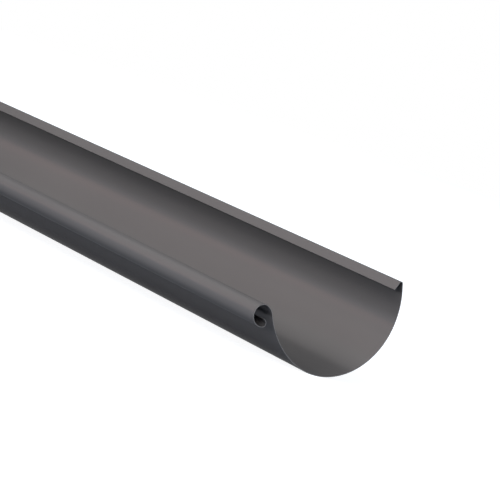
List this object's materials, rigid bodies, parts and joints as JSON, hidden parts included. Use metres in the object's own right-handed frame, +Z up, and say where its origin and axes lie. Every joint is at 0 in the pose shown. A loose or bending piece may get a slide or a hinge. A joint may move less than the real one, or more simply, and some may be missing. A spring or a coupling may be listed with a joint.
{
  "type": "half-round gutter section",
  "caption": "Half-round roof gutter length in coated steel sheet, with a rolled front bead and a folded rear edge, that carries rainwater along an eaves.",
  "frame": {"origin": "on the floor, under the middle of the length and halfway across the width", "axes": "+X along the length, +Y towards the folded rear edge, -Y towards the front bead, +Z up. The section lies leaned about 23 degrees towards the bead, as a loose length rests"},
  "size_m": [2, 0.1466, 0.0981],
  "materials": {
    "coated_steel": "satin dark grey coil coating with a faint grain, bare metal only on the cut ends"
  },
  "bodies": {
    "root": {"gutter": "coated_steel"}
  },
  "joints": []
}
